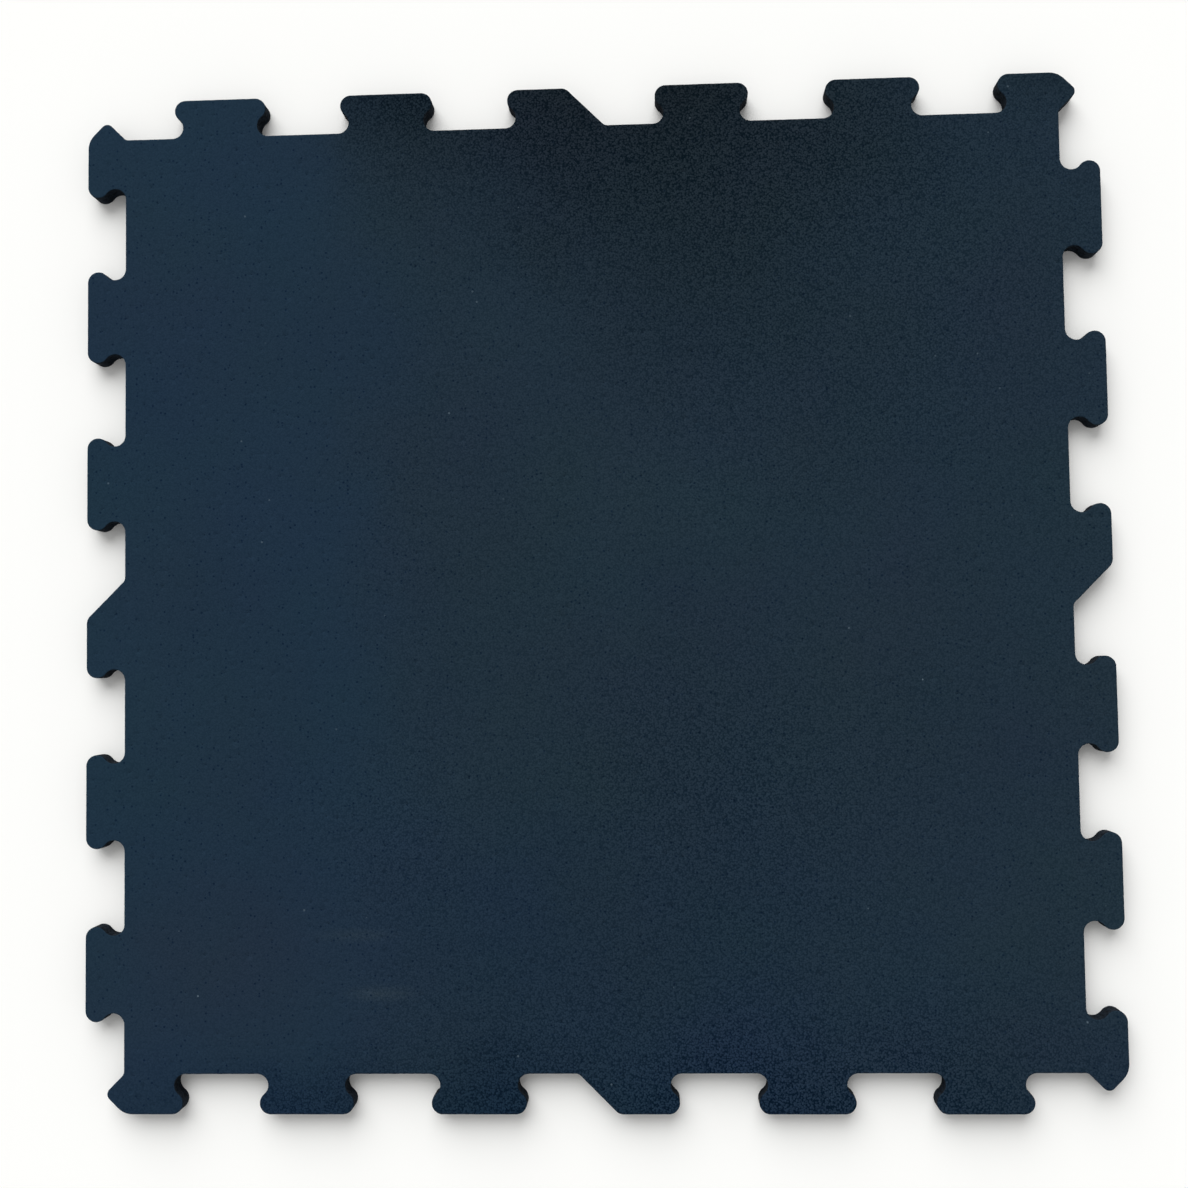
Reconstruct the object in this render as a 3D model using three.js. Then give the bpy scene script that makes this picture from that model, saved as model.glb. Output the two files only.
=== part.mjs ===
// Interlocking rubber gym floor tile, cut from one slab of pressed crumb rubber.
// Lengths are in millimetres. The origin is the centre of the underside, +Z is up and +Y is the
// side seen at the top of the picture. All four sides are the same curve, turned by a quarter.
import * as THREE from 'three';

// The grid square that one laid tile covers, from one row of tiles to the next.
const COVERAGE = 584.2;
// From the floor of a recess out to the end of a tab.
const TAB_DEPTH = 23.3;
// The cut slab, from the underside to the top.
const THICKNESS = 12;
// From one flank of a tab to the next flank along the side.
const FLANK_PITCH = 50.8;
// How far the middle of a flank leans from square to the side, in degrees, so that a tab locks in.
const FLANK_LEAN = 52.5;
// Rounding of the arrow-shaped corner's tip.
const TIP_RADIUS = 4;
// Outer rounding where the arrow's slope meets the straight end of its tab.
const SHOULDER_RADIUS = 12.5;
// Outer rounding where the slope in the middle of each side meets the end of its tab.
const SLOPE_RADIUS = 6.2;
// Inner rounding where either slope meets the floor of a recess.
const HEEL_RADIUS = 4;
// Flanks on each half of a side.
const FLANKS_PER_HALF = 5;
// The largest turn between two neighbouring points of an arc, in degrees.
const ARC_STEP = 9;

const RUBBER = new THREE.MeshStandardMaterial({ color: '#1f2e3a', roughness: 0.88, metalness: 0 });

const halfCoverage = COVERAGE / 2;
const halfDepth = TAB_DEPTH / 2;
const recessFloor = halfCoverage - halfDepth;
const tabEnd = halfCoverage + halfDepth;
const lean = THREE.MathUtils.degToRad(FLANK_LEAN);
// Two equal arcs that touch in the middle of the flank take up the whole depth of a tab.
const flankRadius = halfDepth / (1 + Math.sin(lean));
const flankOffset = halfDepth * Math.tan(lean);
const firstFlank = (halfCoverage - (FLANKS_PER_HALF - 1) * FLANK_PITCH) / 2;

// A corner of the outline before it is rounded.
function corner(x, y, radius) {
  return { at: new THREE.Vector2(x, y), radius };
}

// The S-shaped flank at x: it climbs from a recess to a tab, or drops back when drop is true.
function flank(x, drop) {
  const low = corner(drop ? x - flankOffset : x + flankOffset, recessFloor, flankRadius);
  const high = corner(drop ? x + flankOffset : x - flankOffset, tabEnd, flankRadius);
  return drop ? [high, low] : [low, high];
}

// The +Y side from left to right, from the foot of one arrow to the tip of the next one.
// Turned half round about its own middle it falls on itself, so equal tiles interlock. Only the
// slopes' ends differ: outside they are rounded more than inside, which leaves them clear.
function sideCorners() {
  const places = Array.from({ length: FLANKS_PER_HALF }, (_, i) => firstFlank + i * FLANK_PITCH);
  const left = places.toReversed().flatMap((x, i) => flank(-x, i % 2 === 1));
  const right = places.flatMap((x, i) => flank(x, i % 2 === 1));
  return [
    corner(-recessFloor, recessFloor, HEEL_RADIUS),
    ...left,
    corner(-halfDepth, tabEnd, SLOPE_RADIUS),
    corner(halfDepth, recessFloor, HEEL_RADIUS),
    ...right,
    corner(recessFloor, tabEnd, SHOULDER_RADIUS),
    corner(halfCoverage, halfCoverage, TIP_RADIUS),
  ];
}

// The points of the arc that rounds one corner, between its neighbours before and after.
function roundedCorner(before, here, after) {
  const arriving = here.at.clone().sub(before.at).normalize();
  const leaving = after.at.clone().sub(here.at).normalize();
  const turn = Math.atan2(arriving.cross(leaving), arriving.dot(leaving));
  const reach = here.radius * Math.tan(Math.abs(turn) / 2);
  const start = here.at.clone().addScaledVector(arriving, -reach);
  const toCentre = new THREE.Vector2(-arriving.y, arriving.x).multiplyScalar(Math.sign(turn));
  const centre = start.clone().addScaledVector(toCentre, here.radius);
  const steps = Math.ceil(Math.abs(THREE.MathUtils.radToDeg(turn)) / ARC_STEP);
  return Array.from({ length: steps + 1 }, (_, i) =>
    start.clone().rotateAround(centre, (turn * i) / steps));
}

// The whole outline: one side, turned to all four, with each corner rounded.
function tileOutline() {
  const corners = [0, 1, 2, 3].flatMap((quarter) =>
    sideCorners().map(({ at, radius }) => ({
      at: at.rotateAround(new THREE.Vector2(), (-quarter * Math.PI) / 2),
      radius,
    })));
  const points = corners.flatMap((here, i) =>
    roundedCorner(corners.at(i - 1), here, corners[(i + 1) % corners.length]));
  // The two arcs of a flank share their middle point, which is kept once.
  return points.filter((point, i) => point.distanceTo(points.at(i - 1)) > 0.001);
}

const slab = new THREE.ExtrudeGeometry(new THREE.Shape(tileOutline()), {
  depth: THICKNESS,
  bevelEnabled: false,
});
const tile = new THREE.Mesh(slab, RUBBER);
tile.name = 'tile';

const part = new THREE.Group();
part.name = 'rubber_gym_floor_tile';
part.add(tile);

export default part;
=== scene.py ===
"""Dresses a rubber gym floor tile: pressed crumb rubber with die-cut edges, on a pale floor."""

import math

import bmesh
import bpy
import numpy as np
from bpy.props import FloatProperty, FloatVectorProperty, IntProperty, PointerProperty
from mathutils import Matrix, Vector
from mathutils.geometry import delaunay_2d_cdt


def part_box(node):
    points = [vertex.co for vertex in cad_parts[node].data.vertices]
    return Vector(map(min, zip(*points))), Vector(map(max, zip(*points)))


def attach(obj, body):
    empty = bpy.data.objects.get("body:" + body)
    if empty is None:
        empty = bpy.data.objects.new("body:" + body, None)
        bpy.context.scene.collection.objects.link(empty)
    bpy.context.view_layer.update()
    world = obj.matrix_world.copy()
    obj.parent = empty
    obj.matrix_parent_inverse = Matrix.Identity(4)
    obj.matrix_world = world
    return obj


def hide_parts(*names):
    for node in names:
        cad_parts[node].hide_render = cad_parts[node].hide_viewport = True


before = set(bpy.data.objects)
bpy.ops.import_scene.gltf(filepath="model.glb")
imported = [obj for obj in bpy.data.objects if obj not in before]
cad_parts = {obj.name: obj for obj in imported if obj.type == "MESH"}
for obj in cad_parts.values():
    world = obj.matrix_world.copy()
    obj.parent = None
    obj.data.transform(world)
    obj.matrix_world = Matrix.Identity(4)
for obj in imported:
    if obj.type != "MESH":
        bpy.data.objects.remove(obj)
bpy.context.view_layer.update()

bl_info = {
    "name": "Rubber gym floor tile",
    "version": (1, 0, 0),
    "blender": (4, 5, 0),
    "location": "View3D > Sidebar > Gym tile",
    "description": "Surfaces, rubber and studio for an interlocking gym floor tile",
    "category": "Object",
}

MM = 0.001


def linear(hex_colour):
    """An sRGB hex colour as the linear red, green and blue that the shaders work in."""
    srgb = np.array([int(hex_colour[i : i + 2], 16) for i in (1, 3, 5)]) / 255
    return tuple(np.where(srgb <= 0.04045, srgb / 12.92, ((srgb + 0.055) / 1.055) ** 2.4).tolist())


class TileSizes(bpy.types.PropertyGroup):
    """Sizes of the tile's surface, past what the solid gives."""

    edge_round: FloatProperty(
        name="Edge rounding",
        description="Radius of the cut's upper and lower edge",
        default=0.35 * MM,
        unit="LENGTH",
        precision=5,
    )
    edge_step: FloatProperty(
        name="Edge step",
        description="Longest stretch of the outline between two columns of the cut edge",
        default=2.4 * MM,
        unit="LENGTH",
        precision=5,
    )
    cut_depth: FloatProperty(
        name="Cut roughness",
        description="How deep torn crumbs leave the cut edge hollow",
        default=0.12 * MM,
        unit="LENGTH",
        precision=5,
    )
    face_step: FloatProperty(
        name="Face step",
        description="Distance between neighbouring points of the pressed face",
        default=2.9 * MM,
        unit="LENGTH",
        precision=5,
    )
    face_depth: FloatProperty(
        name="Face unevenness",
        description="Height between the high and the low crumbs of the pressed face",
        default=0.06 * MM,
        unit="LENGTH",
        precision=5,
    )
    under_step: FloatProperty(
        name="Underside step",
        description="Distance between neighbouring points of the underside",
        default=8 * MM,
        unit="LENGTH",
        precision=5,
    )
    pit_pitch: FloatProperty(
        name="Pit spacing",
        description="Mean distance between two open pores of the pressed face",
        default=9 * MM,
        unit="LENGTH",
        precision=5,
    )
    pit_radius: FloatProperty(
        name="Pit radius",
        description="Radius of the widest open pore",
        default=0.55 * MM,
        unit="LENGTH",
        precision=5,
    )
    pit_depth: FloatProperty(
        name="Pit depth",
        description="Depth of the deepest open pore",
        default=0.4 * MM,
        unit="LENGTH",
        precision=5,
    )
    seed: IntProperty(name="Seed", description="Start of the random draws", default=7)


class RubberLook(bpy.types.PropertyGroup):
    """Colours of the rubber, among them a painted sheen and the painted shade of pores."""

    face: FloatVectorProperty(
        name="Pressed face",
        description="Blue-black of the pressed crumb",
        subtype="COLOR",
        default=linear("#1f2e3a"),
    )
    # Painted sheen: light glancing off the face's left side, painted in as a bluer, paler tone.
    painted_sheen: FloatVectorProperty(
        name="Sheen",
        description="Bluer, greyer film on one side of the face",
        subtype="COLOR",
        default=linear("#1d2f3f"),
    )
    gap: FloatVectorProperty(
        name="Gap",
        description="Share of the film's light that comes back from between the crumbs",
        subtype="COLOR",
        default=(0.11, 0.34, 0.44),
        soft_max=2,
    )
    crest: FloatVectorProperty(
        name="Crest",
        description="Share of the film's light that comes back from the palest crumbs",
        subtype="COLOR",
        default=(1.9, 1.66, 1.57),
        max=2,
        soft_max=2,
    )
    # Painted shade: the pores' hollows are darkened by this share for the shade that falls in
    # them.
    pore: FloatVectorProperty(
        name="Pore",
        description="Share of the film's light that comes back from an open pore",
        subtype="COLOR",
        default=(0.2, 0.4, 0.6),
    )
    fleck: FloatVectorProperty(
        name="Fleck",
        description="Stray pale crumb",
        subtype="COLOR",
        default=linear("#6c7d88"),
    )
    dust: FloatVectorProperty(
        name="Dust",
        description="Brownish grey of the faint smudges",
        subtype="COLOR",
        default=linear("#2d3a44"),
    )
    cut: FloatVectorProperty(
        name="Cut edge",
        description="Fresh black rubber of the die-cut edge",
        subtype="COLOR",
        default=linear("#1a2129"),
    )
    crumb: FloatProperty(
        name="Crumb",
        description="Width of one crumb in the pressed face",
        default=1.12 * MM,
        unit="LENGTH",
        precision=5,
    )


class StudioSettings(bpy.types.PropertyGroup):
    """Floor, light and camera."""

    floor: FloatVectorProperty(
        name="Floor",
        description="Pale studio floor",
        subtype="COLOR",
        default=linear("#fafaf8"),
    )
    room: FloatProperty(
        name="Ceiling light", description="Strength of the white room overhead", default=0.46
    )
    room_walls: FloatProperty(
        name="Wall light", description="Strength of the white room near the floor", default=1.0
    )
    window: FloatProperty(
        name="Window light", description="Strength of the broad, soft light", default=2.85
    )
    window_height: FloatProperty(
        name="Window height",
        description="Angle of the broad light above the floor",
        default=math.radians(37),
        unit="ROTATION",
    )
    window_side: FloatProperty(
        name="Window side",
        description="Angle of the broad light from the tile's far side towards its left",
        default=math.radians(14),
        unit="ROTATION",
    )
    window_width: FloatProperty(
        name="Window width",
        description="Angle that the broad light takes up, which softens its shadows",
        default=math.radians(60),
        unit="ROTATION",
    )
    lens: FloatProperty(
        name="Lens", description="Focal length", default=42.9, unit="CAMERA", precision=3
    )


# Flat part of the rim that belongs to the edge's rows, and rows of faces in the cut itself.
FLAT_RIM = 0.7 * MM
CUT_ROWS = 5
# Rows of faces at either end, the flat rim and half the rounding, that look like the face.
RIM_ROWS = 2
# How far the points of the face and the underside stay from the edge, as a share of their step.
FACE_MARGIN = 0.55
UNDER_MARGIN = 0.4
# Open pores: how many places of their lattice hold one, and the smallest one as a share of the
# largest. They stay this far from the edge and from stray crumbs, and the face's other points
# stay this share of their own step away from a pore.
PIT_CHANCE = 0.6
SMALLEST_PIT = 0.4
PIT_TO_EDGE = 2.5 * MM
PIT_TO_STRAY = 4 * MM
PIT_MARGIN = 0.35
# The square map for baking: the face's plan at the lower left, the underside's plan beside it,
# and the edge above both, cut into strips that each fill most of their band.
FACE_CORNER = np.array([0.01, 0.01])
FACE_WIDTH = 0.76
UNDER_CORNER = np.array([0.785, 0.01])
UNDER_WIDTH = 0.2
STRIPS = 6
STRIPS_CORNER = np.array([0.01, 0.79])
STRIP_LENGTH = 0.97
STRIP_BAND = 0.2 / STRIPS
STRIP_FILL = 0.8
# Points whose nearest target is looked up at one time, so that the table fits in memory.
SLICE = 1000

# Stray crumbs pressed into the face: x, y and radius in mm, and how pale each one is.
STRAY_CRUMBS = (
    (192.3, -54.4, 0.8, 0.75),
    (280.8, -251.7, 1.0, 0.6),
    (62.9, 283.0, 0.8, 0.3),
    (239.0, 268.7, 0.7, 0.4),
    (-247.5, -197.0, 0.5, 0.35),
    (-192.6, 58.3, 0.8, 0.4),
    (293.6, 123.3, 0.9, 0.3),
    (-40.9, 231.7, 0.6, 0.4),
    (-236.0, -235.0, 0.7, 0.9),
)
# Faint dusty smudges: centre and reach in mm, and how much dust lies there.
SMUDGES = (((-141, -200), (34, 6), 0.65), ((-127, -234), (30, 7), 0.95))
# Broad patches of the face where the film is worn: centre and reach in mm, sRGB tone, how much of
# the tone shows and how much more the crumbs show.
WORN_PATCHES = (
    ((25, 335), (240, 180), "#151d23", 1.0, 0.62),
    ((-30, 262), (75, 95), "#151d23", 0.4, 0.25),
    ((-110, 320), (75, 60), "#111d26", 0.9, 0.4),
    ((130, 280), (160, 100), "#161e25", 0.35, 0.2),
    ((60, 190), (120, 120), "#161f27", 0.4, 0.22),
    ((190, 190), (160, 160), "#19242c", 0.2, 0.22),
    ((110, 100), (130, 90), "#1b2831", 0.12, 0.12),
    ((275, 310), (60, 50), "#18262e", 0.7, 0.2),
    ((25, 60), (110, 60), "#22323d", 0.35, 0.0),
    ((85, -120), (170, 130), "#1b2935", 0.42, 0.26),
    ((-130, -130), (110, 90), "#1d2e3d", 0.2, 0.12),
    ((-70, -190), (130, 110), "#19283e", 0.35, 0.05),
    ((-225, -225), (110, 80), "#252b37", 0.3, 0.0),
    ((30, -200), (190, 110), "#192938", 0.35, 0.0),
    ((90, -340), (320, 190), "#18293c", 0.8, 0.5),
    ((200, -280), (130, 70), "#1b2830", 0.3, 0.1),
    ((0, -330), (480, 78), "#132432", 0.85, 0.3),
    ((-180, -320), (70, 55), "#14263a", 0.7, 0.35),
    ((-70, -320), (70, 70), "#0e2133", 0.8, 0.2),
)
# The film's clouds: their size, how far they bend the patches and how much they swing its tone.
CLOUD_SIZE = 110 * MM
CLOUD_BEND = 90 * MM
CLOUD_SWING = 0.22
# Along x, where the painted sheen begins and where it is full.
SHEEN_BEGINS = -85 * MM
SHEEN_FULL = -180 * MM
# How strongly the crumbs show through the plain film and through the painted sheen.
PLAIN_GRAIN = 0.27
SHEEN_GRAIN = 0.15
# Streaks to the metre in the smudges' dust, along x, y and z.
STREAKS = (120.0, 700.0, 1.0)
# The power that makes dark crumbs rare, and the level at which a crumb has the film's own tone.
CRUMB_POWER = 0.3
CRUMB_MIDDLE = 0.62
# Pores and flecks take the place of a crumb this many times as wide as the others. A pore shows
# where its chance value is low, and a fleck where it is all but 1. Then how much painted shade
# darkens a pore, and how pale a fleck is.
SPOT_WIDTH = 2.2
PORE_BEGINS = 0.36
PORE_FULL = 0.1
FLECK_BEGINS = 0.9985
FLECK_FULL = 0.9995
PORE_SHADE = 0.85
FLECK_PALENESS = 0.3
# Torn crumbs of the cut: their width beside a pressed crumb's, and the light left between them.
TORN_WIDTH = 1.6
TORN_GAP = 0.4

# The floor's half width in metres, and the sine of the height at which walls give way to ceiling.
FLOOR_HALF = 20.0
WALL_TOP = 0.5
# The camera's place and the point that it looks at, in mm, and its lean to one side.
CAMERA_PLACE = (39.6, -42.98, 846.31)
CAMERA_TARGET = (1.31, -1.33, 12)
CAMERA_ROLL = math.radians(-0.82)
SENSOR_WIDTH = 36


def rubber_look():
    """The rubber's colours as the panel holds them."""
    return bpy.context.scene.rubber_look


def studio_settings():
    """The floor, light and camera settings as the panel holds them."""
    return bpy.context.scene.studio_settings


def cad_outline(node):
    """The solid's upper edge as a closed loop of (x, y), anticlockwise seen from above: the
    facets of the flat top are joined into one face, whose corners stand in order."""
    solid = bmesh.new()
    solid.from_mesh(node.data)
    bmesh.ops.remove_doubles(solid, verts=solid.verts, dist=0.001 * MM)
    bmesh.ops.dissolve_limit(
        solid, angle_limit=math.radians(1), verts=solid.verts, edges=solid.edges
    )
    top = max(solid.faces, key=lambda face: face.calc_center_median().z)
    loop = np.array([corner.co[:2] for corner in top.verts])
    solid.free()
    return loop


def stepped(loop, step):
    """The loop with each stretch cut into equal parts no longer than step: point plus stretch
    times part over number of parts."""
    stretch = np.roll(loop, -1, 0) - loop
    parts = np.ceil(np.hypot(*stretch.T) / step).astype(int)
    before = np.repeat(np.cumsum(parts) - parts, parts)
    share = (np.arange(parts.sum()) - before) / np.repeat(parts, parts)
    return np.repeat(loop, parts, 0) + np.repeat(stretch, parts, 0) * share[:, None]


def inward(loop):
    """Unit vectors from each point of the loop into the tile, a quarter turn to the left of the
    chord between its two neighbours."""
    chord = np.roll(loop, -1, 0) - np.roll(loop, 1, 0)
    across = np.stack([-chord[:, 1], chord[:, 0]], 1)
    return across / np.hypot(*across.T)[:, None]


def nearest(points, targets):
    """For each point, the index of its nearest target, in slices that fit in memory."""
    found = [
        ((part[:, None] - targets) ** 2).sum(2).argmin(1)
        for part in np.array_split(points, len(points) // SLICE + 1)
    ]
    return np.concatenate(found)


def scattered(half, step, rng):
    """Points of a triangular lattice over a square of half that side, each moved by up to a
    quarter of the step along x and y."""
    row = step * math.sqrt(3) / 2
    x, y = np.meshgrid(np.arange(-half, half, step), np.arange(-half, half, row))
    x = x + np.where(np.arange(len(x)) % 2, step / 2, 0)[:, None]
    points = np.stack([x.ravel(), y.ravel()], 1)
    return points + rng.uniform(-step / 4, step / 4, points.shape)


def kept_inside(points, ring, margin):
    """The points that lie inside the ring by more than margin, measured from the nearest point
    of the ring along its inward direction."""
    near = nearest(points, ring)
    depth = ((points - ring[near]) * inward(ring)[near]).sum(1)
    return points[depth > margin]


def clear_of(points, others, gap):
    """The points that lie more than gap from each of the others."""
    return points[np.hypot(*(points - others[nearest(points, others)]).T) > gap]


def netted(ring, points):
    """Triangles, anticlockwise from above, between the ring and the points inside it. The ring
    keeps its place at the start of the numbering. A triangle with all corners on the ring lies
    inside only if they follow each other the way the ring runs."""
    count = len(ring)
    spots = np.vstack([ring, points])
    edges = [(i, (i + 1) % count) for i in range(count)]
    placed, _, triangles, *_ = delaunay_2d_cdt(
        [Vector(spot) for spot in spots.tolist()], edges, [], 1, 0.0001 * MM, False
    )
    if len(placed) != len(spots) or not np.allclose([p[:] for p in placed], spots, atol=1e-6):
        raise RuntimeError("two points of the face fell together, so its net lost its numbering")
    triangles = np.array(triangles)
    first, second, third = spots[np.sort(triangles, 1)].transpose(1, 0, 2)
    inside = np.cross(second - first, third - first) > 0
    return triangles[inside | (triangles.max(1) >= count)]


def edge_profile(sizes, thickness):
    """The tile's edge from the pressed face round to the underside, as rows of inset, height and
    roughness: a flat rim, an eighth and a quarter of a circle, the cut, and the same back. The
    cut is as rough as it can be, and the roughness fades to nothing over the flat rim."""
    radius = sizes.edge_round
    turn = np.radians([0, 45, 90])
    inset = np.concatenate([[radius + FLAT_RIM], radius * (1 - np.sin(turn))])
    drop = np.concatenate([[0], radius * (1 - np.cos(turn))])
    cut = np.linspace(radius, thickness - radius, CUT_ROWS + 1)[1:-1]
    inset = np.concatenate([inset, np.zeros(len(cut)), inset[::-1]])
    drop = np.concatenate([drop, cut, thickness - drop[::-1]])
    roughness = np.interp(inset, [0, radius / 2, radius, radius + FLAT_RIM], [1, 0.5, 0.3, 0])
    return inset, thickness - drop, roughness


def edge_points(sizes, loop, thickness, rng):
    """Points of the edge by row, column and axis: the outline moved inward by the profile's inset
    plus a chance share of the cut's depth, at the profile's height."""
    inset, height, roughness = edge_profile(sizes, thickness)
    torn = roughness[:, None] * sizes.cut_depth * rng.random((len(inset), len(loop)))
    plan = loop + inward(loop) * (inset[:, None] + torn)[:, :, None]
    return np.dstack([plan, np.repeat(height[:, None], len(loop), 1)])


def edge_quads(rows, columns):
    """Corner numbers of the faces between the rows of the edge, facing out, and the row of
    each."""
    row, column = np.divmod(np.arange((rows - 1) * columns), columns)
    after = (column + 1) % columns
    above, below = row * columns, (row + 1) * columns
    quads = np.stack([above + column, below + column, below + after, above + after], 1)
    return quads, row


def dimples(middles, radii, rng):
    """Six points round each middle, at its radius times a chance share from 0.75 to 1.25."""
    angle = np.radians(np.arange(0, 360, 60)) + rng.uniform(0, math.pi, len(middles))[:, None]
    reach = radii[:, None] * rng.uniform(0.75, 1.25, angle.shape)
    around = np.dstack([np.cos(angle), np.sin(angle)]) * reach[:, :, None]
    return (middles[:, None] + around).reshape(-1, 2)


def face_points(sizes, ring, half, thickness, rng):
    """Points of the pressed face inside its ring, then how much painted pore shade and how pale a
    stray crumb each one is. They are a scattered lattice, a ring round each pore and stray crumb,
    and their middles, each sunk by a chance share of the face's depth, and a pore's by its own."""
    stray_x, stray_y, stray_radii, paleness = np.array(STRAY_CRUMBS).T
    strays = np.column_stack([stray_x, stray_y]) * MM
    pits = kept_inside(scattered(half, sizes.pit_pitch, rng), ring, PIT_TO_EDGE)
    pits = pits[rng.random(len(pits)) < PIT_CHANCE]
    pits = clear_of(pits, strays, PIT_TO_STRAY)
    pit_share = rng.uniform(SMALLEST_PIT, 1, len(pits))
    middles = np.vstack([pits, strays])
    radii = np.concatenate([pit_share * sizes.pit_radius, stray_radii * MM])
    ground = scattered(half, sizes.face_step, rng)
    ground = kept_inside(ground, ring, sizes.face_step * FACE_MARGIN)
    ground = clear_of(ground, middles, sizes.pit_radius + sizes.face_step * PIT_MARGIN)
    face = np.vstack([ground, dimples(middles, radii, rng), pits, strays])
    sunk = sizes.face_depth * rng.random(len(face))
    pore, stray = np.zeros((2, len(face)))
    pore[-len(middles) : -len(strays)] = 1
    stray[-len(strays) :] = paleness
    sunk[-len(middles) : -len(strays)] += sizes.pit_depth * pit_share
    return np.column_stack([face, thickness - sunk]), pore, stray


def under_points(sizes, ring, half, rng):
    """Points of the underside inside its ring: a scattered lattice, each raised by a chance share
    of the face's depth."""
    base = scattered(half, sizes.under_step, rng)
    base = kept_inside(base, ring, sizes.under_step * UNDER_MARGIN)
    return np.column_stack([base, sizes.face_depth * rng.random(len(base))])


def flat_map(points, half, corner, width):
    """Map coordinates of a plan of the tile: x and y carried from the tile's box to a square."""
    return corner + (points[..., :2] + half) * (width / (2 * half))


def edge_map(points, quads, row, rows, columns, half):
    """Map coordinates of the edge's faces. Those of the flat rims lie in the plans of the face
    and the underside. The others stand in strips one above another, each a stretch of the
    outline long and the edge's rows high."""
    ring = points[quads[:columns, 0]]
    length = np.concatenate([[0], np.cumsum(np.hypot(*(np.roll(ring, -1, 0) - ring)[:, :2].T))])
    along = length * STRIPS / length[-1]
    column = np.arange(len(quads)) % columns
    strip = np.floor(along[column])
    begin, end = along[column] - strip, along[column + 1] - strip
    across = STRIP_LENGTH * np.stack([begin, begin, end, end], 1)
    upper, lower = row / (rows - 1), (row + 1) / (rows - 1)
    height = np.stack([upper, lower, lower, upper], 1)
    strips = np.dstack([across, (strip[:, None] + STRIP_FILL * height) * STRIP_BAND])
    plan = flat_map(points[quads], half, FACE_CORNER, FACE_WIDTH)
    base = flat_map(points[quads], half, UNDER_CORNER, UNDER_WIDTH)
    placed = np.where((row < RIM_ROWS)[:, None, None], plan, STRIPS_CORNER + strips)
    return np.where((row >= rows - 1 - RIM_ROWS)[:, None, None], base, placed)


class TILE_OT_crumb_rubber(bpy.types.Operator):
    """Make the tile's surface: pressed face with open pores, torn cut edge and underside"""

    bl_idname = "gym_tile.crumb_rubber"
    bl_label = "Crumb rubber tile"

    def execute(self, context):
        sizes = context.scene.tile_sizes
        rng = np.random.default_rng(sizes.seed)
        _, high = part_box("tile")
        half, thickness = high.x, high.z

        loop = stepped(cad_outline(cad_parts["tile"]), sizes.edge_step)
        edge = edge_points(sizes, loop, thickness, rng)
        upper_ring, lower_ring = edge[0, :, :2], edge[-1, :, :2]
        face, pore, stray = face_points(sizes, upper_ring, half, thickness, rng)
        base = under_points(sizes, lower_ring, half, rng)
        points = np.vstack([edge.reshape(-1, 3), face, base])

        rows, columns, _ = edge.shape
        numbers = np.arange(len(points))
        first_face = rows * columns
        first_base = first_face + len(face)
        upper = np.concatenate([numbers[:columns], numbers[first_face:first_base]])
        lower = np.concatenate([numbers[first_face - columns : first_face], numbers[first_base:]])
        top = upper[netted(upper_ring, face[:, :2])]
        under = lower[netted(lower_ring, base[:, :2])][:, ::-1]
        quads, row = edge_quads(rows, columns)

        mesh = bpy.data.meshes.new("crumb_rubber_tile")
        mesh.from_pydata(points.tolist(), [], top.tolist() + under.tolist() + quads.tolist())
        if mesh.validate():
            raise RuntimeError("the tile's surface has faulty faces")
        for material in (pressed_rubber(), cut_rubber()):
            mesh.materials.append(material)
        cut = (row >= RIM_ROWS) & (row < rows - 1 - RIM_ROWS)
        slot = np.concatenate([np.zeros(len(top) + len(under)), cut]).astype(np.int32)
        mesh.polygons.foreach_set("material_index", slot)
        mesh.shade_smooth()

        # The pores' middles carry their painted shade to the material, the stray crumbs their
        # paleness.
        for name, values in (("pore", pore), ("stray", stray)):
            spots = np.zeros(len(points))
            spots[first_face:first_base] = values
            mesh.attributes.new(name, "FLOAT", "POINT").data.foreach_set("value", spots)

        baking = mesh.uv_layers.new(name="OFBake")
        places = [
            flat_map(points[top], half, FACE_CORNER, FACE_WIDTH).reshape(-1, 2),
            flat_map(points[under], half, UNDER_CORNER, UNDER_WIDTH).reshape(-1, 2),
            edge_map(points, quads, row, rows, columns, half).reshape(-1, 2),
        ]
        baking.uv.foreach_set("vector", np.vstack(places).astype(np.float32).ravel())

        tile = bpy.data.objects.new("crumb_rubber_tile", mesh)
        context.scene.collection.objects.link(tile)
        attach(tile, "root")
        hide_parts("tile")
        return {"FINISHED"}


def add(tree, kind, inputs, output=0, **settings):
    """Adds a shader node, sets its properties, sets or links its inputs by name or number, and
    gives the output of that name or number. A Mix of two colours has its factor at input 0, the
    colours at 6 and 7, and its result at output 2."""
    node = tree.nodes.new("ShaderNode" + kind)
    for name, value in settings.items():
        setattr(node, name, value)
    for name, value in inputs.items():
        if isinstance(value, bpy.types.NodeSocket):
            tree.links.new(value, node.inputs[name])
        else:
            node.inputs[name].default_value = value
    return node.outputs[output]


def new_material(name):
    """A node material with its node tree and the shader in it."""
    material = bpy.data.materials.new(name)
    material.use_nodes = True
    tree = material.node_tree
    return material, tree, tree.nodes["Principled BSDF"]


def patch(tree, place, centre, reach):
    """1 at the centre of an oval and 0 at its rim, softly between; centre and reach in mm."""
    middle = [c * MM for c in centre] + [0]
    shrink = [1 / (r * MM) for r in reach] + [0]
    offset = add(tree, "VectorMath", {0: place, 1: middle}, operation="SUBTRACT")
    scaled = add(tree, "VectorMath", {0: offset, 1: shrink}, operation="MULTIPLY")
    length = add(tree, "VectorMath", {0: scaled}, "Value", operation="LENGTH")
    fade = {"Value": length, "From Min": 1, "From Max": 0}
    return add(tree, "MapRange", fade, interpolation_type="SMOOTHSTEP")


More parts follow.
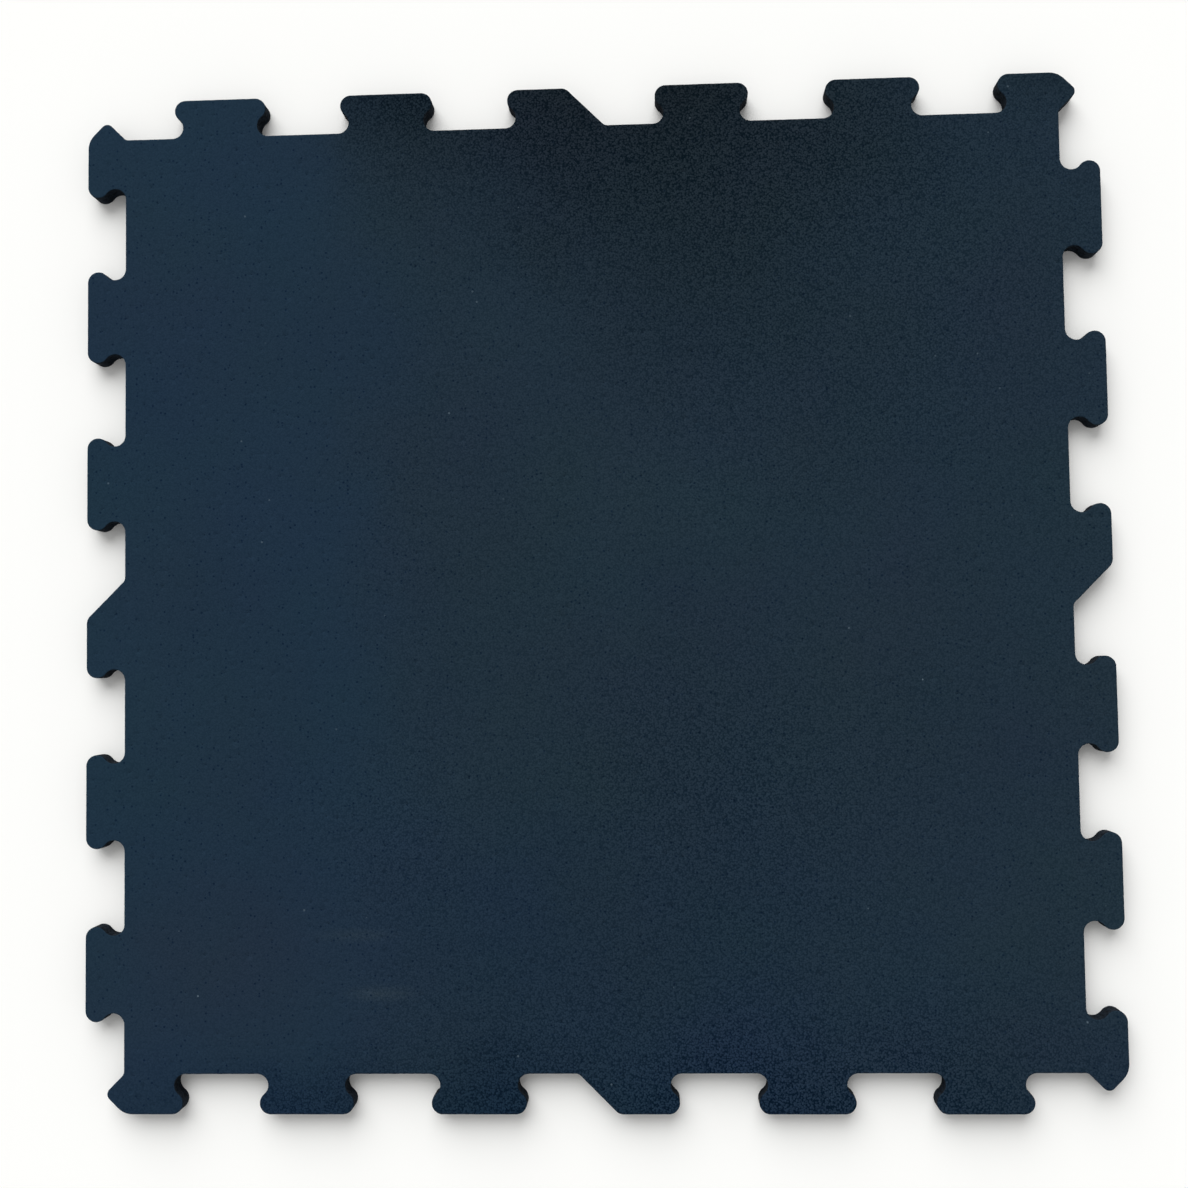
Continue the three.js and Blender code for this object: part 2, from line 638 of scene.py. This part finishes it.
def crumbs(tree, place, width, rim=0.8, core=0.3):
    """Crumbs of rubber of one width: their height, from 0 outside the rim to 1 inside the core,
    both as shares of the width, and a chance value from 0 to 1 that is the same all over one
    crumb."""
    distance = add(tree, "TexVoronoi", {"Vector": place, "Scale": 1 / width}, "Distance")
    chance = add(tree, "SeparateColor", {0: distance.node.outputs["Color"]})
    rise = {"Value": distance, "From Min": rim, "From Max": core}
    return add(tree, "MapRange", rise, interpolation_type="SMOOTHSTEP"), chance


def rgba(colour):
    """The colour with full opacity, as a node's socket takes it."""
    return (*colour, 1.0)


def face_tone(tree, place):
    """The film on the pressed face without its crumbs, and how strongly the crumbs show through
    it:
    bluer and closed under a painted sheen along one side, worn dark and open in broad patches
    elsewhere."""
    look = rubber_look()
    clouds = {"Vector": place, "Scale": 1 / CLOUD_SIZE, "Detail": 3.0}
    drift = add(tree, "TexNoise", clouds, "Color")
    bend = {0: drift, 1: (CLOUD_BEND, CLOUD_BEND, 0.0), 2: place}
    pushed = add(tree, "VectorMath", bend, operation="MULTIPLY_ADD")
    back = {0: pushed, 1: (-CLOUD_BEND / 2, -CLOUD_BEND / 2, 0.0)}
    bent = add(tree, "VectorMath", back, operation="ADD")

    # Painted sheen: towards the left side the face turns bluer and paler and its crumbs show less.
    across = add(tree, "SeparateXYZ", {0: bent}, "X")
    side = {"Value": across, "From Min": SHEEN_BEGINS, "From Max": SHEEN_FULL}
    painted_sheen = add(tree, "MapRange", side, interpolation_type="SMOOTHSTEP")
    films = {0: painted_sheen, 6: rgba(look.face), 7: rgba(look.painted_sheen)}
    tone = add(tree, "Mix", films, 2, data_type="RGBA")
    covering = {"Value": painted_sheen, "To Min": PLAIN_GRAIN, "To Max": SHEEN_GRAIN}
    show = add(tree, "MapRange", covering, interpolation_type="SMOOTHSTEP")
    for centre, reach, colour, depth, bareness in WORN_PATCHES:
        mask = patch(tree, bent, centre, reach)
        worn = add(tree, "Math", {0: mask, 1: depth}, operation="MULTIPLY")
        tone = add(tree, "Mix", {0: worn, 6: tone, 7: rgba(linear(colour))}, 2, data_type="RGBA")
        show = add(tree, "Math", {0: mask, 1: bareness, 2: show}, operation="MULTIPLY_ADD")

    swing = {0: drift, 1: [CLOUD_SWING] * 3, 2: [1 - CLOUD_SWING / 2] * 3}
    hue = add(tree, "VectorMath", swing, operation="MULTIPLY_ADD")
    tone = add(tree, "Mix", {0: 1.0, 6: tone, 7: hue}, 2, data_type="RGBA", blend_type="MULTIPLY")
    stretched = add(tree, "VectorMath", {0: place, 1: STREAKS}, operation="MULTIPLY")
    streaks = add(tree, "TexNoise", {"Vector": stretched, "Scale": 1.0}, "Fac")
    for centre, reach, amount in SMUDGES:
        mask = patch(tree, place, centre, reach)
        smudge = add(tree, "Math", {0: mask, 1: amount}, operation="MULTIPLY")
        dust = add(tree, "Math", {0: smudge, 1: streaks}, operation="MULTIPLY")
        tone = add(tree, "Mix", {0: dust, 6: tone, 7: rgba(look.dust)}, 2, data_type="RGBA")
    return tone, show


def pressed_rubber():
    """Crumb rubber pressed in a mould: flat and dull, a blue-grey film over black crumbs, with a
    painted sheen along one side, blue-black gaps between the crumbs and here and there an open
    pore, darkened with painted shade, or a pale stray crumb."""
    look = rubber_look()
    material, tree, shader = new_material("pressed_crumb_rubber")
    place = add(tree, "TexCoord", {}, "Object")
    tone, show = face_tone(tree, place)

    # The grain: gaps and dark crumbs take light from the film, and pale crumbs add some.
    height, chance = crumbs(tree, place, look.crumb, rim=0.75, core=0.4)
    pale = add(tree, "Math", {0: chance, 1: CRUMB_POWER}, operation="POWER")
    level = add(tree, "Math", {0: pale, 1: height}, operation="MULTIPLY")
    above = add(tree, "Math", {0: level, 1: CRUMB_MIDDLE}, operation="SUBTRACT")
    grain = add(tree, "Math", {0: above, 1: show, 2: 0.5}, operation="MULTIPLY_ADD")
    shades = {0: grain, 6: rgba(look.gap), 7: rgba(look.crest)}
    tint = add(tree, "Mix", shades, 2, data_type="RGBA")
    tone = add(tree, "Mix", {0: 1.0, 6: tone, 7: tint}, 2, data_type="RGBA", blend_type="MULTIPLY")

    # Painted shade in the pores, those painted only and those of the mesh, then pale flecks and
    # stray crumbs.
    spot, rare = crumbs(tree, place, SPOT_WIDTH * look.crumb, rim=0.34, core=0.16)
    low = {"Value": rare, "From Min": PORE_BEGINS, "From Max": PORE_FULL}
    hollow = add(tree, "MapRange", low, interpolation_type="SMOOTHSTEP")
    pore = add(tree, "Math", {0: spot, 1: hollow}, operation="MULTIPLY")
    high = {"Value": rare, "From Min": FLECK_BEGINS, "From Max": FLECK_FULL}
    bright = add(tree, "MapRange", high, interpolation_type="SMOOTHSTEP")
    fleck = add(tree, "Math", {0: spot, 1: bright}, operation="MULTIPLY")
    pit = add(tree, "Attribute", {}, "Fac", attribute_name="pore")
    deep = add(tree, "Math", {0: pore, 1: pit}, operation="MAXIMUM")
    dark = add(tree, "Math", {0: deep, 1: PORE_SHADE}, operation="MULTIPLY")
    shaded = {0: dark, 6: tone, 7: rgba(look.pore)}
    tone = add(tree, "Mix", shaded, 2, data_type="RGBA", blend_type="MULTIPLY")
    faint = add(tree, "Math", {0: fleck, 1: FLECK_PALENESS}, operation="MULTIPLY")
    tone = add(tree, "Mix", {0: faint, 6: tone, 7: rgba(look.fleck)}, 2, data_type="RGBA")
    stray = add(tree, "Attribute", {}, "Fac", attribute_name="stray")
    tone = add(tree, "Mix", {0: stray, 6: tone, 7: rgba(look.fleck)}, 2, data_type="RGBA")

    tree.links.new(tone, shader.inputs["Base Color"])
    shader.inputs["Roughness"].default_value = 0.88
    shader.inputs["IOR"].default_value = 1.52
    shader.inputs["Specular IOR Level"].default_value = 0.04
    relief = add(tree, "Math", {0: height, 1: deep}, operation="SUBTRACT")
    bump = add(tree, "Bump", {"Height": relief, "Strength": 0.35, "Distance": 0.12 * MM})
    tree.links.new(bump, shader.inputs["Normal"])
    return material


def cut_rubber():
    """Crumb rubber where the die cut it: fresh, nearly black, torn crumbs with no film on them."""
    look = rubber_look()
    material, tree, shader = new_material("die_cut_crumb_rubber")
    place = add(tree, "TexCoord", {}, "Object")
    height, _ = crumbs(tree, place, TORN_WIDTH * look.crumb)
    gap = [TORN_GAP * c for c in look.cut]
    tone = add(tree, "Mix", {0: height, 6: rgba(gap), 7: rgba(look.cut)}, 2, data_type="RGBA")
    tree.links.new(tone, shader.inputs["Base Color"])
    shader.inputs["Roughness"].default_value = 0.92
    shader.inputs["Specular IOR Level"].default_value = 0.04
    bump = add(tree, "Bump", {"Height": height, "Strength": 0.7, "Distance": 0.25 * MM})
    tree.links.new(bump, shader.inputs["Normal"])
    return material


class TILE_OT_studio(bpy.types.Operator):
    """Make the pale floor, the soft light and the camera above the tile"""

    bl_idname = "gym_tile.studio"
    bl_label = "Studio"

    def execute(self, context):
        scene = context.scene
        self.floor()
        self.light(scene)
        scene.camera = self.camera()
        scene.view_settings.view_transform = "Standard"
        return {"FINISHED"}

    def floor(self):
        """A painted floor: nearly white and matt, so that it shows only soft contact shadows."""
        settings = studio_settings()
        material, _, shader = new_material("painted_floor")
        shader.inputs["Base Color"].default_value = rgba(settings.floor)
        shader.inputs["Roughness"].default_value = 0.9
        shader.inputs["Specular IOR Level"].default_value = 0.1
        signs = ((-1, -1), (1, -1), (1, 1), (-1, 1))
        corners = [(x * FLOOR_HALF, y * FLOOR_HALF, 0) for x, y in signs]
        mesh = bpy.data.meshes.new("floor")
        mesh.from_pydata(corners, [], [(0, 1, 2, 3)])
        mesh.materials.append(material)
        floor = bpy.data.objects.new("floor", mesh)
        bpy.context.scene.collection.objects.link(floor)

    def light(self, scene):
        """A white room, brighter near the floor than overhead, and a broad light from +Y."""
        settings = studio_settings()
        world = bpy.data.worlds.new("white_room")
        world.use_nodes = True
        tree = world.node_tree
        direction = add(tree, "TexCoord", {}, "Generated")
        height = add(tree, "SeparateXYZ", {0: direction}, "Z")
        fade = {
            "Value": height,
            "From Max": WALL_TOP,
            "To Min": settings.room_walls,
            "To Max": settings.room,
        }
        strength = add(tree, "MapRange", fade, interpolation_type="SMOOTHSTEP")
        tree.links.new(strength, tree.nodes["Background"].inputs["Strength"])
        tree.nodes["Background"].inputs["Color"].default_value = (1, 1, 1, 1)
        scene.world = world
        lamp = bpy.data.lights.new("window_light", "SUN")
        lamp.energy = settings.window
        lamp.angle = settings.window_width
        window = bpy.data.objects.new("window_light", lamp)
        window.rotation_euler = (
            math.radians(90) - settings.window_height,
            0,
            math.radians(180) + settings.window_side,
        )
        scene.collection.objects.link(window)

    def camera(self):
        """A camera over the tile, looking down, with +Y up in its picture but for its roll."""
        settings = studio_settings()
        lens = bpy.data.cameras.new("camera")
        lens.sensor_width = SENSOR_WIDTH
        lens.lens = settings.lens
        camera = bpy.data.objects.new("camera", lens)
        place = Vector(CAMERA_PLACE) * MM
        forward = (Vector(CAMERA_TARGET) * MM - place).normalized()
        right = forward.cross(Vector((0, 1, 0))).normalized()
        up = right.cross(forward)
        turned_right = right * math.cos(CAMERA_ROLL) + up * math.sin(CAMERA_ROLL)
        turned_up = up * math.cos(CAMERA_ROLL) - right * math.sin(CAMERA_ROLL)
        axes = Matrix((turned_right, turned_up, -forward)).transposed()
        camera.matrix_world = Matrix.Translation(place) @ axes.to_4x4()
        bpy.context.scene.collection.objects.link(camera)
        return camera


class TILE_PT_panel(bpy.types.Panel):
    """Lists the tile's operators and settings"""

    bl_label = "Gym tile"
    bl_space_type = "VIEW_3D"
    bl_region_type = "UI"
    bl_category = "Gym tile"

    def draw(self, context):
        for operator in OPERATORS:
            self.layout.operator(operator.bl_idname)
        for name in SETTINGS:
            group = getattr(context.scene, name)
            box = self.layout.box()
            for field in group.__annotations__:
                box.prop(group, field)


OPERATORS = (TILE_OT_crumb_rubber, TILE_OT_studio)
SETTINGS = {
    "tile_sizes": TileSizes,
    "rubber_look": RubberLook,
    "studio_settings": StudioSettings,
}


def register():
    for made in (*SETTINGS.values(), *OPERATORS, TILE_PT_panel):
        bpy.utils.register_class(made)
    for name, group in SETTINGS.items():
        setattr(bpy.types.Scene, name, PointerProperty(type=group))


def unregister():
    for name in SETTINGS:
        delattr(bpy.types.Scene, name)
    for made in (TILE_PT_panel, *OPERATORS, *SETTINGS.values()):
        bpy.utils.unregister_class(made)


def main():
    """Makes the tile and its studio."""
    register()
    bpy.ops.gym_tile.crumb_rubber()
    bpy.ops.gym_tile.studio()


if __name__ == "__main__":
    main()
